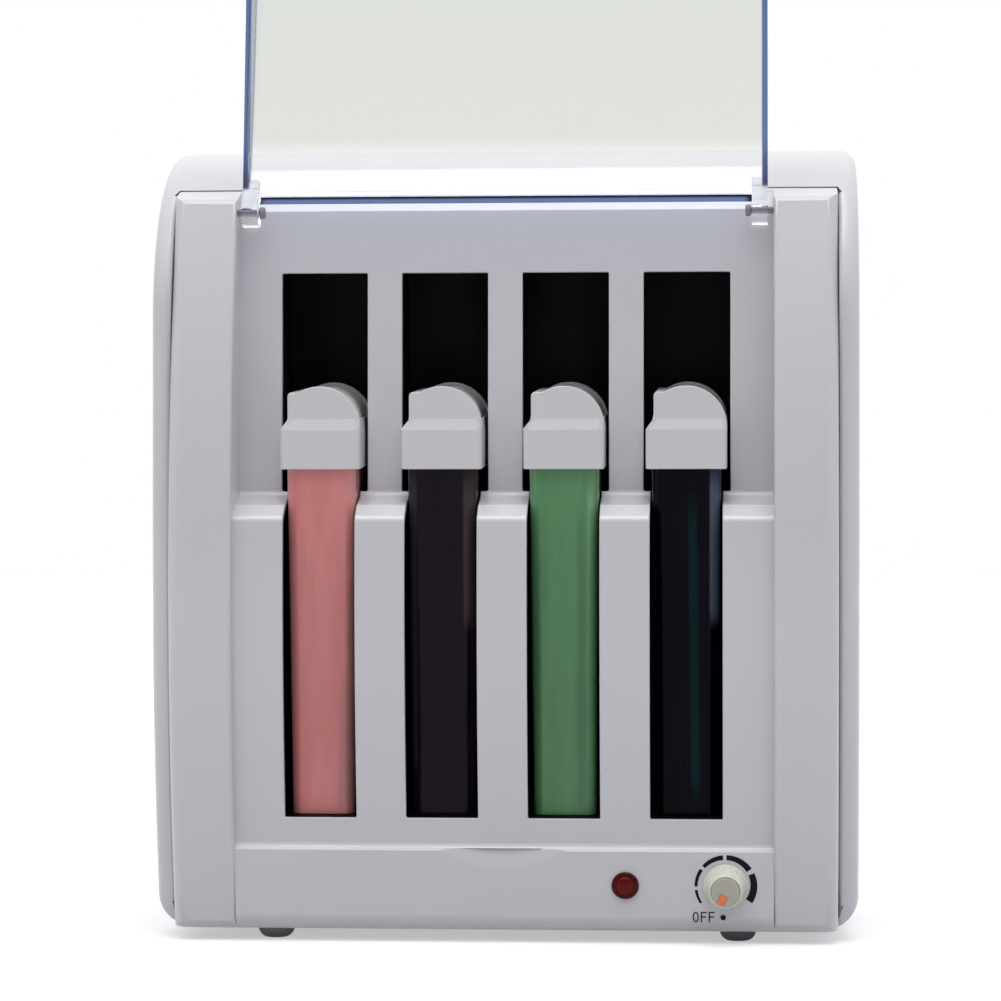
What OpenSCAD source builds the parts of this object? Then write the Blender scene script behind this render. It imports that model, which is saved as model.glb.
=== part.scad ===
// Roll-on wax heater for four cartridges, with a clear hinged lid shown open.
// Millimetres, +Z up, the feet stand on Z = 0, the front faces -Y.
// Side profiles are drawn as [depth behind the foremost front line, height].

/* [Housing] */
// Width of the rear housing
body_w = 248; // [244:1:260]
// Depth from the foremost front line to the back
body_d = 130; // [126:1:150]
// Height from the table to the top of the housing
body_h = 282; // [280:1:286]
// Wall thickness of the mouldings
wall = 2.4; // [2:0.1:2.6]
// Rounding of the rear housing's edges
edge_r = 6; // [4:0.5:7]
// Radius of the housing's front top sweep
sweep_r = 64; // [62:1:66]

/* [Front] */
// Width of the front bezel
bezel_w = 233.2; // [232:0.2:234]
// Width of the recess between the rails
recess_w = 188.4; // [188:0.2:190]
// Radius of the bowed front
bow_r = 500; // [480:10:560]
// Height at which the front stands furthest forward
bow_z = 129; // [125:1:133]
// Depth of the lower panel below the rails
lower_panel_d = 4.2; // [3.8:0.1:4.6]
// Depth of the upright upper panel
upper_panel_d = 23.7; // [23:0.1:24.5]
// Distance between the cartridge bays
bay_pitch = 42.6; // [42.2:0.1:43]
// Width of the four upper windows
window_w = 30.4; // [30:0.2:31]
// Width of the four lower slots
slot_w = 25.2; // [25:0.1:26]

/* [Lid] */
// Outer width of the lid
lid_w = 184.4; // [184:0.2:186]
// Thickness of the clear plastic
lid_t = 2; // [1.8:0.1:2.4]
// Angle through which the lid swings open
lid_open = 184; // [170:1:186]

/* [Cartridges] */
// Width of a roller head
head_w = 28.2; // [27.6:0.2:28.6]
// Depth of a roller head, front to back
head_d = 47; // [44:1:48]
// Height of a bottle below its head
bottle_h = 121.4; // [110:0.2:122]
// Width of a bottle at its top
bottle_w = 24.2; // [23.6:0.2:24.4]
// Lean of a cartridge in its bay
bay_lean = 4; // [3.4:0.1:4.2]

/* [Controls] */
// Diameter of the thermostat knob at its foot
knob_d = 15.8; // [15:0.2:17]
// Height of the thermostat knob
knob_h = 9.4; // [8:0.2:11]
// Diameter of the pilot lamp
lamp_d = 9.5; // [9:0.1:10]

/* [Hidden] */
$fn = 72;
eps = 0.01;
play = 0.2;                          // gap between pieces that only pass each other
gland_out = 1.5;                     // how far the cord gland stands out of the back
front_y = -(body_d + gland_out) / 2;
back_y = front_y + body_d;
base_z = 4;                          // underside of the housing, above the table
bow_axis = [bow_r, bow_z];           // centre of the front's bow, as depth and height
sweep_axis = [10.5 + sweep_r, body_h - sweep_r];
nose_d = 10.5;                       // depth of the rear housing's front line
rear_r = 28;
rear_axis = [body_d - rear_r, body_h - rear_r];
heel_r = 10;
corner_r = 13;                       // lower corners in the front view
base_w = body_w - 28;                // width of the open underside
rail_out_w = 5;                      // outer rounding of a rail, across and in depth
rail_out_d = 5.2;
rail_in_r = 1.5;
rail_top = [21.5, 256.5];            // centre of the rounding at a rail's top
rail_top_r = 5;
seam = [31.2, 264.9];                // where the rails run out into the housing's top
toe_r = 7;
toe = [21, base_z + toe_r];
bezel_foot = 25;                     // depth of the bezel's lower flange

lip_z = 33.2;                        // top edge of the control strip
lip_d = bow(lip_z) + 1.8;
lip_r = 0.9;
strip_foot = toe - [toe_r - 0.1, 0];
strip_tilt = atan((strip_foot.x - lip_d) / (lip_z - lip_r - strip_foot.y));
cove = [2.2, 3.4];                   // hollow rounding above the lip: depth, height
ledge_z = 149;                       // front edge of the ledge
ledge_back_z = 156;
ledge_step = [10.6, 153.2];          // where the ledge's front slope meets its flatter back
ledge_d = bow(ledge_z) + lower_panel_d;
slot_z = 43.8;
window_z = [158, 235];
bays = [for (i = [-1.5:1:1.5]) i * bay_pitch];

hinge = [18.5, 256];
pin_r = 1.2;
pin_run = 0.08;                      // running clearance of the hinge and the rollers
ear_r = 5;
ear_w = 5.6;
lug = [[20.4, 246], [15, 243]];      // where the ears run into the lid's side walls
lid_face = bow_r - 0.4;
lid_foot_z = 34.8;
lid_bend_z = 238;
lid_end = [21.6, 253.6];

cartridge = [8.5, 165.5];            // near face of a head, underside of its collar
collar_h = 13.7;
shoulder_h = 17.5;
cheek_r = 14.2;
cheek_t = 2.6;
cheek_z = 14.7;
roller_r = 12.4;
roller_at = [0.5, 15.4];
axle_r = 1.5;
bottle_d = 42;
bottle_taper = 2.2;
bottle_wall = 1.4;

well_w = 31;                         // inside of a well, in its bay's leaning frame
well_back = 49;
well_t = 1.2;
well_top = 74;
flange = [38, 160.5, 243.5];         // the wells' front flange: width, lowest and highest point

control_z = 20.7;
shaft_r = 3;
lamp_x = bay_pitch;
knob_x = 77.5;
control_d = lip_d + (lip_z - lip_r - control_z) * tan(strip_tilt);
pointer_turn = -24;                  // from straight down, towards the left
notch_w = 45.8;
notch_drop = 8;

foot_x = 81.7;
foot_d = [29.4, 104];
foot_r = 6.5;
post_x = 104;                        // screw posts under the housing's sides
post_d = [44, 90];
gland_x = -86;
gland_z = 32;
cord_r = 3.5;                        // bore of the gland
lead_r = 1.2;                        // inner leads

// Depth of the rails' bowed front at a height
function bow(z) = bow_r - sqrt(bow_r * bow_r - pow(z - bow_z, 2));

// Points of an arc about a centre, from one angle to another
function arc(c, r, a0, a1, n) = [for (i = [0:n]) let (a = a0 + (a1 - a0) * i / n)
    [c.x + r * cos(a), c.y + r * sin(a)]];

// Angle at which a circle about the bow's axis passes a height, for arc()
function bow_angle(r, z) = 180 - asin((z - bow_z) / r);

// A side profile carried across the width
module across(w, x = 0)
    translate([x, front_y, 0]) rotate([90, 0, 90]) linear_extrude(w, center = true) children();

// A front view, as across and height, carried between two depths
module through(d0, d1)
    translate([0, front_y + d1, 0]) rotate([90, 0, 0]) linear_extrude(d1 - d0) children();

// A section, as radius and across, swept round the bow between two heights
module round_bow(z0, z1) {
    high = asin((z1 - bow_z) / bow_r);
    low = asin((z0 - bow_z) / bow_r);
    translate([0, front_y + bow_r, bow_z]) rotate([0, 90, 0]) rotate([0, 0, -90 - high])
        rotate_extrude(angle = high - low, $fn = 360) children();
}

// A rectangle from corner to corner with round corners
module soft_rect(p, q, r) {
    translate([p.x + r, p.y]) square([q.x - p.x - 2 * r, q.y - p.y]);
    translate([p.x, p.y + r]) square([q.x - p.x, q.y - p.y - 2 * r]);
    for (x = [p.x + r, q.x - r], y = [p.y + r, q.y - r]) translate([x, y]) circle(r);
}

// Housing

// Side outline of the housing, drawn in by an inset
function housing_outline(in) = concat(
    arc(bow_axis, bow_r - nose_d - in, bow_angle(bow_r - nose_d - in, base_z + in), 180, 14),
    arc(sweep_axis, sweep_r - in, 180, 90, 20),
    arc(rear_axis, rear_r - in, 90, 0, 12),
    arc([body_d - heel_r, base_z + heel_r], heel_r - in, 0, -90, 6));

// Slices of the rounded block from left to right, as across and inset
function housing_slices(in) = let (r = edge_r - in, w = body_w / 2 - in) concat(
    [for (t = [0:15:90]) [-w + r * (1 - cos(t)), in + r * (1 - sin(t))]],
    [for (t = [90:-15:0]) [w - r * (1 - cos(t)), in + r * (1 - sin(t))]]);

// Front view of the body with its round lower corners, drawn in by an inset
module body_front(in)
    soft_rect([-body_w / 2 + in, base_z + in], [body_w / 2 - in, body_h + 40], corner_r - in);

// The housing as a block with rounded edges, drawn in by an inset
module housing_block(in) intersection() {
    slices = housing_slices(in);
    n = len(housing_outline(in));
    last = (len(slices) - 1) * n;
    through(-2, body_d + 2) body_front(in);
    polyhedron(
        points = [for (s = slices, p = housing_outline(s[1])) [s[0], front_y + p.x, p.y]],
        faces = concat(
            [[for (i = [n - 1:-1:0]) i]],
            [for (k = [0:n:last - n], i = [0:n - 1]) let (j = (i + 1) % n) each
                [[k + i, k + j, k + n + j], [k + i, k + n + j, k + n + i]]],
            [[for (i = [0:n - 1]) last + i]]));
}

module rear_housing() color([0.86, 0.86, 0.89]) {
    difference() {
        housing_block(0);
        housing_block(wall);
        // the front opening that takes the bezel
        through(-1, 22) soft_rect([-bezel_w / 2 - play, base_z - 10], [bezel_w / 2 + play, seam.y], 9);
        across(bezel_w + 2 * play) polygon([[-1, 0], [bezel_foot + play, 0],
            [bezel_foot + play, base_z + wall], [34, 20], [26, 60], [26, 200], [seam.x + play, 230],
            [seam.x + play, body_h], [-1, body_h]]);
        // the open underside, closed by the base plate
        translate([-base_w / 2, front_y + 20, -1]) cube([base_w, body_d - 30, base_z + 5]);
        translate([gland_x, back_y + 1, gland_z]) rotate([90, 0, 0]) cylinder(h = 10, r = 6);
    }
    for (side = [-1, 1]) {
        // flange that holds the bezel's side
        across(wall, side * (bezel_w + wall) / 2) intersection() {
            translate(bow_axis) circle(bow_r - nose_d - 1, $fn = 720);
            translate([0, 24]) square([24, 198]);
        }
        // screw posts, with a web to the side wall
        for (d = post_d) translate([0, front_y + d, base_z + wall]) {
            translate([side * post_x, 0, 0]) cylinder(h = 22, r = 4);
            translate([side * (post_x + body_w / 2 - 1) / 2, 0, 13])
                cube([body_w / 2 - 1 - post_x, 1.8, 10], center = true);
        }
    }
}

// Bezel

// Side outline that trims the bezel's top and toe, drawn in by an inset
module bezel_trim(in) polygon(concat(
    [[40, base_z + in]],
    arc(toe, toe_r - in, 270, 180, 10),
    [[-5, 40], [-5, 230]],
    arc(rail_top, rail_top_r - in, 180, 104, 10),
    [[seam.x, seam.y - in], [40, seam.y - in]]));

// Section of one rail, as radius and across
module rail_section(in) {
    face = bow_r - in;
    inner = recess_w / 2 + in;
    outer = bezel_w / 2 - in;
    polygon(concat(
        [[face - 26, inner]],
        [for (t = [0:15:90]) [face - rail_in_r * (1 - sin(t)), inner + rail_in_r * (1 - cos(t))]],
        [for (t = [90:-7.5:0]) [face - rail_out_d * (1 - sin(t)), outer - rail_out_w * (1 - cos(t))]],
        [[face - 26, outer]]));
}

module rail() difference() {
    intersection() {
        round_bow(-6, 268) rail_section(0);
        across(2 * bezel_w) bezel_trim(0);
        through(-2, 40) soft_rect([-bezel_w / 2, base_z - 10], [bezel_w / 2, seam.y + 4], 6);
        through(-2, 40) body_front(0);
        rail_back();
    }
    intersection() {
        round_bow(-6, 268) rail_section(wall);
        across(2 * bezel_w) bezel_trim(wall);
    }
}

// What lies in front of the bezel's back line
module rail_back() across(2 * bezel_w) polygon([[-5, 0], [bezel_foot, 0], [22, 40], [20, 100], [20, 225],
    [seam.x, 245], [seam.x, body_h], [-5, body_h]]);

// Everything behind the surface of the bezel's middle, set back by a distance
module behind_middle(back) {
    far = 70;
    lip = [lip_d + back, lip_z - back / 3];
    // control strip, with a rounded lip and toe
    polygon(concat(
        [[far, lip.y]],
        arc(lip + [lip_r, -lip_r], lip_r, 90, 180, 5),
        arc(strip_foot + [toe_r, 0], toe_r - back, 180, 270, 10),
        [[far, base_z + back]]));
    // cove above the lip
    polygon(concat(
        [[lip.x + lip_r, lip.y - 2]],
        [for (t = [0:10:90]) lip + [lip_r + (cove.x - lip_r) * sin(t), cove.y * (1 - cos(t))]],
        [[far, lip.y + cove.y], [far, lip.y - 2]]));
    // bowed lower panel
    intersection() {
        translate([0, lip.y + 1]) square([far, ledge_z - 3 - back / 2 - lip.y]);
        translate(bow_axis) circle(bow_r - lower_panel_d - back, $fn = 720);
    }
    // ledge with a rounded front edge, in two slopes
    polygon(concat(
        [[ledge_d + back, ledge_z - 6]],
        arc([ledge_d + back + 3, ledge_z - 2 - back / 2], 3, 180, 112, 8),
        arc(ledge_step + [back + 1, -1 - back / 2], 1, 150, 105, 4),
        arc([upper_panel_d + back - 3, ledge_back_z + 2.8 - back / 2], 3, 285, 352, 8),
        [[far, ledge_back_z + 2], [far, ledge_z - 6]]));
    // upright upper panel, bending back with the housing's top
    translate([upper_panel_d + back, ledge_z]) square([far, sweep_axis.y - ledge_z]);
    intersection() {
        translate([upper_panel_d + back, sweep_axis.y - eps]) square([far, body_h]);
        translate(sweep_axis) circle(sweep_r - back, $fn = 180);
    }
}

// How far back the bezel's middle reaches
module middle_reach() polygon([[0, base_z], [bezel_foot, base_z], [bezel_foot, 20], [seam.x, 40],
    [seam.x, body_h], [0, body_h]]);

// The middle of the bezel: side walls and the stepped panel between the rails
module bezel_middle() {
    for (side = [-1, 1]) across(wall + eps, side * (recess_w / 2 + wall / 2)) difference() {
        intersection() {
            translate(bow_axis) circle(bow_r - 2, $fn = 720);
            bezel_trim(0.5);
            middle_reach();
        }
        behind_middle(wall);
    }
    across(recess_w + eps) intersection() {
        difference() {
            behind_middle(0);
            behind_middle(wall);
        }
        bezel_trim(0);
        middle_reach();
    }
    // backing for the thumb notch
    across(notch_w + 6) intersection() {
        behind_middle(wall / 2);
        translate([lip_d, lip_z - 11]) square([6.6, 14.4]);
    }
}

// A point by the control strip, as depth and height, from its distances up and out
function strip_point(up, out) = [control_d - out * cos(strip_tilt) - up * sin(strip_tilt),
    control_z - out * sin(strip_tilt) + up * cos(strip_tilt)];

// Places a child on the control strip, with +Z standing out of it
module on_strip(x) translate([x, front_y + control_d, control_z]) rotate([90 + strip_tilt, 0, 0]) children();

// The soft thumb notch under the lid's lower edge
module thumb_notch() {
    ring = (pow(notch_w / 2, 2) + pow(notch_drop, 2)) / (2 * notch_drop);
    ball = 110;
    on_strip(0) translate([0, lip_z - notch_drop + ring - control_z, sqrt(ball * ball - ring * ring)])
        sphere(ball, $fn = 240);
}

module front_bezel() color([0.86, 0.86, 0.89]) difference() {
    union() {
        rail();
        mirror([1, 0, 0]) rail();
        bezel_middle();
    }
    for (x = bays) {
        through(upper_panel_d - 8, 40)
            soft_rect([x - window_w / 2, window_z[0]], [x + window_w / 2, window_z[1]], 0.6);
        through(-2, 40) soft_rect([x - slot_w / 2, slot_z], [x + slot_w / 2, window_z[0] + 3], 0.6);
    }
    intersection() {
        thumb_notch();
        across(notch_w + 2) translate([0, lip_z - 12]) square([lip_d + 4, 12.2]);
    }
    on_strip(lamp_x) translate([0, 0, -10]) cylinder(h = 20, r = lamp_d / 2 - 0.6);
    on_strip(knob_x) translate([0, 0, -10]) cylinder(h = 20, r = 3.6);
    for (side = [-1, 1]) translate([side * (recess_w / 2 + wall / 2), front_y + hinge.x, hinge.y])
        rotate([0, 90, 0]) cylinder(h = wall + 1, r = pin_r, center = true);
}

// Lid

// The bend between the lid's bowed face and its end at the hinge, as [radius, centre]
bend_from = [bow_r - sqrt(pow(lid_face, 2) - pow(lid_bend_z - bow_z, 2)), lid_bend_z];
bend_lean = asin((lid_bend_z - bow_z) / lid_face);
bend_chord = lid_end - bend_from;
bend_r = norm(bend_chord) / (2 * sin(atan2(bend_chord.x, bend_chord.y) - bend_lean));
bend_axis = bend_from + bend_r * [cos(bend_lean), -sin(bend_lean)];

// What lies behind the rear edge of the lid's side walls, in the closed place
module behind_lid(rim) {
    intersection() {
        translate(bow_axis) circle(lid_face - 3 - rim, $fn = 720);
        translate([0, -60]) square([90, 210]);
    }
    polygon([[3.8 + rim, 149], [3.9 + rim, 152], [6.2 + rim, 155.5], [14.5 + rim, 159.5], [16.5 + rim, 163],
        [lid_end.x - 1 + rim, 247], [lid_end.x + rim, 251], [90, 251], [90, 149]]);
}

// Side outline of the lid in its closed place, with its face drawn in by an inset
module lid_outline(in, rim) difference() {
    union() {
        intersection() {
            translate(bow_axis) circle(lid_face - in, $fn = 720);
            translate([-1, lid_foot_z + in]) square([60, lid_bend_z - lid_foot_z - in]);
        }
        intersection() {
            translate(bend_axis) circle(bend_r - in, $fn = 180);
            translate([-1, lid_bend_z - eps]) square([lid_end.x + rim + 1, 40]);
        }
    }
    behind_lid(rim);
}

module lid_closed() {
    difference() {
        across(lid_w) lid_outline(0, 0);
        across(lid_w - 2 * lid_t) lid_outline(lid_t, 8);
    }
    for (side = [-1, 1]) across(ear_w, side * (lid_w - ear_w) / 2) {
        translate(hinge) circle(ear_r);
        polygon(concat([hinge + [-ear_r, 0], hinge + [ear_r, 0]], lug));
    }
}

// Turns a child about the hinge
module about_hinge(angle) translate([0, front_y + hinge.x, hinge.y]) rotate([angle, 0, 0])
    translate([0, -front_y - hinge.x, -hinge.y]) children();

module lid() color([0.82, 0.87, 0.86, 0.4]) about_hinge(-lid_open) difference() {
    lid_closed();
    translate([0, front_y + hinge.x, hinge.y]) rotate([0, 90, 0])
        cylinder(h = 2 * lid_w, r = pin_r + pin_run, center = true);
}

module hinge_pins() color([0.8, 0.8, 0.82]) for (side = [-1, 1])
    translate([side * (lid_w / 2 - ear_w), front_y + hinge.x, hinge.y]) rotate([0, side * 90, 0])
        cylinder(h = (recess_w - lid_w) / 2 + ear_w + wall, r = pin_r);

// Base

module base_plate() color([0.8, 0.8, 0.83]) difference() {
    translate([0, front_y, base_z]) linear_extrude(wall)
        soft_rect([-base_w / 2 + play, bezel_foot + play], [base_w / 2 - play, body_d - 10 - play], 4);
    for (x = [-48:12:48]) translate([x, 0, 0]) linear_extrude(20) soft_rect([-2, -18], [2, 22], 1.9);
    for (x = [-1, 1] * foot_x, d = foot_d) translate([x, front_y + d, 0]) cylinder(h = 20, r = 2.4);
}

module rubber_feet() color([0.2, 0.2, 0.22]) for (x = [-1, 1] * foot_x, d = foot_d)
    translate([x, front_y + d, 0]) {
        rotate_extrude() polygon(concat([[0, base_z], [0, 0], [foot_r * 0.45, 0]],
            [for (t = [0:15:90]) [foot_r * (0.45 + 0.55 * sin(t)), base_z * (1 - cos(t))]]));
        translate([0, 0, base_z - eps]) cylinder(h = wall + eps, r = 2.4);
    }

module base_screws() color([0.7, 0.7, 0.72]) for (x = [-1, 1] * post_x, d = post_d)
    translate([x, front_y + d, base_z - 1.2]) cylinder(h = 1.2, r1 = 2.6, r2 = 3.2);

module cord_gland() color([0.12, 0.12, 0.13])
    translate([gland_x, back_y, gland_z]) rotate([-90, 0, 0]) difference() {
        union() {
            translate([0, 0, -8]) cylinder(h = 8 + eps, r = 6);
            translate([0, 0, -8]) cylinder(h = 8 - wall, r = 8);
            cylinder(h = gland_out, r = 8);
        }
        translate([0, 0, -9]) cylinder(h = 14, r = cord_r);
    }

// Heating

// The leaning frame that the cartridges, wells and heater share: X across, Y back from the
// heads' near face, Z up from the underside of their collars
module in_rack(x = 0) translate([x, front_y + cartridge.x, cartridge.y]) rotate([bay_lean, 0, 0]) children();

// A point of that frame, as depth and height
function rack_point(y, z) = cartridge + [y * cos(bay_lean) - z * sin(bay_lean),
    y * sin(bay_lean) + z * cos(bay_lean)];

well_floor = -bottle_h - play;
panel_back = upper_panel_d + wall;

// A black pocket behind a window, open at the front, that hangs by its flange on the bezel
module heater_well(i) color([0.03, 0.03, 0.04]) difference() {
    union() {
        intersection() {
            in_rack(bays[i - 1]) translate([-well_w / 2 - well_t, -20, well_floor - well_t])
                cube([well_w + 2 * well_t, 20 + well_back + well_t, well_top - well_floor + 2 * well_t]);
            across(well_w + 2 * well_t, bays[i - 1]) behind_middle(wall + play / 2);
        }
        through(panel_back, panel_back + well_t) translate([bays[i - 1] - flange[0] / 2, flange[1]])
            square([flange[0], flange[2] - flange[1]]);
    }
    in_rack(bays[i - 1]) translate([-well_w / 2, -40, well_floor])
        cube([well_w, 40 + well_back, well_top - well_floor]);
}

spreader_y = well_back + well_t;
spreader_t = 2;
spreader_w = 3 * bay_pitch + well_w;
spreader_z = [-110, -15];
foil_y = spreader_y + spreader_t;
foil_t = 0.8;

module heat_spreader() color([0.75, 0.76, 0.78]) in_rack()
    translate([-spreader_w / 2, spreader_y, spreader_z[0]])
        cube([spreader_w, spreader_t, spreader_z[1] - spreader_z[0]]);

// A foil heater with its track running to and fro
module heating_foil() color([0.75, 0.35, 0.15]) in_rack() translate([0, foil_y + foil_t, spreader_z[0] + 9])
    rotate([90, 0, 0]) linear_extrude(foil_t) difference() {
        soft_rect([-spreader_w / 2 + 10, 0], [spreader_w / 2 - 10, 78], 4);
        for (i = [0:5]) translate([-spreader_w / 2 + (i % 2 == 0 ? 5 : 22), 11 + i * 11])
            soft_rect([0, 0], [spreader_w - 27, 2], 0.9);
    }

module spreader_screws() color([0.7, 0.7, 0.72]) in_rack()
    for (x = [-1, 1] * (spreader_w / 2 - 5), z = spreader_z + [5, -5])
        translate([x, foil_y, z]) rotate([-90, 0, 0]) cylinder(h = 2, r = 3);

fuse_r = 3;

module thermal_fuse() color([0.85, 0.83, 0.75]) in_rack()
    translate([-10, foil_y + fuse_r, spreader_z[1] - 4]) rotate([0, 90, 0]) cylinder(h = 20, r = fuse_r);

block = [-60, 96, base_z + wall];     // corner of the terminal block: across, depth, height

module terminal_block() color([0.93, 0.92, 0.88])
    translate([block.x, front_y + block.y, block.z]) difference() {
    cube([34, 16, 12]);
    for (x = [6:11:30]) translate([x, 8, 6]) cylinder(h = 10, r = 2.2);
}

// A lead along a list of points, each across, depth and height
module lead(points) translate([0, front_y, 0]) for (i = [1:len(points) - 1]) {
    run = points[i] - points[i - 1];
    translate(points[i - 1]) rotate([0, acos(run.z / norm(run)), atan2(run.y, run.x)])
        cylinder(h = norm(run), r = lead_r, $fn = 24);
    if (i < len(points) - 1) translate(points[i]) sphere(lead_r * 1.15, $fn = 24);
}

// Leads from the terminal block to the foil, the thermostat and the pilot lamp
module wiring() color([0.55, 0.12, 0.1]) {
    z = block.z + 6;
    foil = rack_point(foil_y + foil_t, spreader_z[0] + 14);
    foil_off = rack_point(foil_y + foil_t + 12, spreader_z[0] + 14);
    lead([[-43, block.y, z], [-43, foil_off.x, z], [-43, foil_off.x, foil_off.y], [-43, foil.x, foil.y]]);
    for (way = [[knob_x, 2, nut_z - stat.z, 110], [lamp_x, 0, -18, 104]]) {
        near = strip_point(way[1], way[2]);
        off = strip_point(way[1], way[2] - 12);
        lead([[block.x + 34, way[3], z], [way.x, way[3], z], [way.x, off.x, off.y], [way.x, near.x, near.y]]);
    }
}

// Controls

module pilot_lamp_lens() color([0.45, 0.02, 0.03]) on_strip(lamp_x)
    rotate_extrude() polygon(concat([[0, 0]], [[lamp_d / 2, 0], [lamp_d / 2, 0.9], [lamp_d / 2 - 0.7, 1.3],
        [lamp_d / 2 - 1.4, 1.1]], [for (t = [0:15:90]) [(lamp_d / 2 - 1.6) * cos(t), 1.1 + 0.9 * sin(t)]]));

module pilot_lamp_body() color([0.9, 0.9, 0.88]) on_strip(lamp_x) {
    translate([0, 0, -18]) cylinder(h = 18, r = lamp_d / 2 - 0.8);
    translate([0, 0, -wall - 2]) cylinder(h = 2, r = lamp_d / 2 + 1.5);
}

nut_t = 3.2;
nut_z = -wall - nut_t;
stat = [26, 22, 14];                  // size of the thermostat: across, up, deep

module thermostat_body() color([0.85, 0.84, 0.8]) on_strip(knob_x) difference() {
    translate([-stat.x / 2, -9, nut_z - stat.z]) cube(stat);
    translate([0, 0, nut_z - stat.z + 2]) cylinder(h = stat.z, r = shaft_r + pin_run);
}

module thermostat_nut() color([0.75, 0.7, 0.5]) on_strip(knob_x) difference() {
    translate([0, 0, nut_z]) cylinder(h = nut_t, r = 6.5, $fn = 6);
    translate([0, 0, nut_z - 1]) cylinder(h = nut_t + 2, r = shaft_r + pin_run);
}

module thermostat_shaft() color([0.75, 0.75, 0.77]) on_strip(knob_x)
    translate([0, 0, nut_z - stat.z + 2 + play])
        cylinder(h = stat.z - nut_z + knob_h - 5 - play, r = shaft_r);

module knob_skirt() color([0.85, 0.86, 0.8]) on_strip(knob_x) difference() {
    union() {
        translate([0, 0, 0.4]) cylinder(h = 1.2, r = knob_d / 2);
        translate([0, 0, 1.6 - eps]) cylinder(h = knob_h - 2.4, r1 = knob_d / 2 - 0.5, r2 = 5.9);
    }
    for (a = [0:15:345]) rotate(a) translate([knob_d / 2 - 0.1, 0, 1.6]) rotate([0, -14, 0])
        cylinder(h = knob_h, r = 0.5, $fn = 16);
    translate([0, 0, -1]) cylinder(h = knob_h - 2, r = shaft_r);
    translate([0, 0, knob_h - 1.6]) cylinder(h = 5, r = 4.9);
}

module knob_cap() color([0.62, 0.62, 0.58]) on_strip(knob_x) difference() {
    translate([0, 0, knob_h - 1.6]) cylinder(h = 1.4, r = 4.9);
    rotate(pointer_turn) translate([0, -2.9, knob_h - 3]) linear_extrude(4) pointer_shape();
}

module pointer_shape() polygon([[-1.5, 1.6], [1.5, 1.6], [0.9, -3], [-0.9, -3]]);

module knob_pointer() color([0.9, 0.45, 0.15]) on_strip(knob_x) rotate(pointer_turn)
    translate([0, -2.9, knob_h - 1.6]) linear_extrude(1.7) intersection() {
        pointer_shape();
        translate([0, 2.9]) circle(4.88);
    }

// Cartridges

// A tapering bottle, drawn in by a wall
module bottle_block(in) {
    w = bottle_w / 2 - in;
    hull() {
        translate([0, 2, -eps - in]) linear_extrude(eps) soft_rect([-w, in], [w, bottle_d - in], 4, $fn = 32);
        translate([0, 2, -bottle_h + in]) linear_extrude(eps)
            soft_rect([-w + bottle_taper / 2, in], [w - bottle_taper / 2, bottle_d - 1.5 - in], 4, $fn = 32);
    }
}

bottle_colors = [[0.75, 0.45, 0.43], [0.14, 0.09, 0.12], [0.32, 0.5, 0.33], [0.04, 0.06, 0.12]];

module cartridge_bottle(i) color(bottle_colors[i - 1]) in_rack(bays[i - 1]) difference() {
    bottle_block(0);
    bottle_block(bottle_wall);
}

module cartridge_wax(i) color(bottle_colors[i - 1] * 0.9)
    in_rack(bays[i - 1]) bottle_block(bottle_wall + 0.05);

// The end view of a head above its collar
module cheek_view() {
    intersection() {
        translate([0, cheek_z]) circle(cheek_r);
        translate([-11.3, collar_h - 2]) square([30, 20]);
    }
    translate([-11.3, collar_h - 2]) square([6, 26.8 - 1.4 - collar_h + 2]);
    translate([-9.9, collar_h]) square([3.6, 26.8 - collar_h]);
    translate([-9.9, 26.8 - 1.4]) circle(1.4);
}

// A slice of a head seen end on, between two depths
module head_slice(y0, y1) translate([0, y1, 0]) rotate([90, 0, 0]) linear_extrude(y1 - y0) children();

module cartridge_head(i) color([0.86, 0.86, 0.88]) in_rack(bays[i - 1]) difference() {
    union() {
        linear_extrude(collar_h) soft_rect([-head_w / 2, 0], [head_w / 2, head_d], 1.6);
        hull() {
            translate([0, 0, collar_h - eps]) linear_extrude(eps)
                soft_rect([-head_w / 2, 0], [head_w / 2, head_d], 1.6, $fn = 32);
            translate([0, 0, shoulder_h]) linear_extrude(eps)
                soft_rect([-11.3, 1.2], [head_w / 2 - 0.4, head_d - 1.2], 1.2, $fn = 32);
        }
        head_slice(1.2, 1.2 + cheek_t) cheek_view();
        head_slice(head_d - 1.2 - cheek_t, head_d - 1.2) cheek_view();
        head_slice(1.3, head_d - 1.3) intersection() {
            cheek_view();
            translate([-11.3, collar_h - 2]) square([5, 20]);
        }
    }
    translate([roller_at.x, 1.2 + cheek_t, roller_at.y]) rotate([-90, 0, 0])
        cylinder(h = head_d - 2.4 - 2 * cheek_t, r = roller_r + 0.5);
    translate([roller_at.x, -1, roller_at.y]) rotate([-90, 0, 0]) translate([0, 0, 2.4])
        cylinder(h = head_d - 2.8, r = axle_r);
}

module cartridge_axle(i) color([0.75, 0.75, 0.77]) in_rack(bays[i - 1])
    translate([roller_at.x, 1.5, roller_at.y]) rotate([-90, 0, 0]) cylinder(h = head_d - 3.2, r = axle_r);

module cartridge_roller(i) color([0.9, 0.9, 0.92]) in_rack(bays[i - 1])
    translate([roller_at.x, 1.2 + cheek_t + 0.5, roller_at.y]) rotate([-90, 0, 0]) difference() {
        cylinder(h = head_d - 3.4 - 2 * cheek_t, r = roller_r);
        translate([0, 0, -1]) cylinder(h = head_d, r = axle_r + pin_run);
    }

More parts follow.
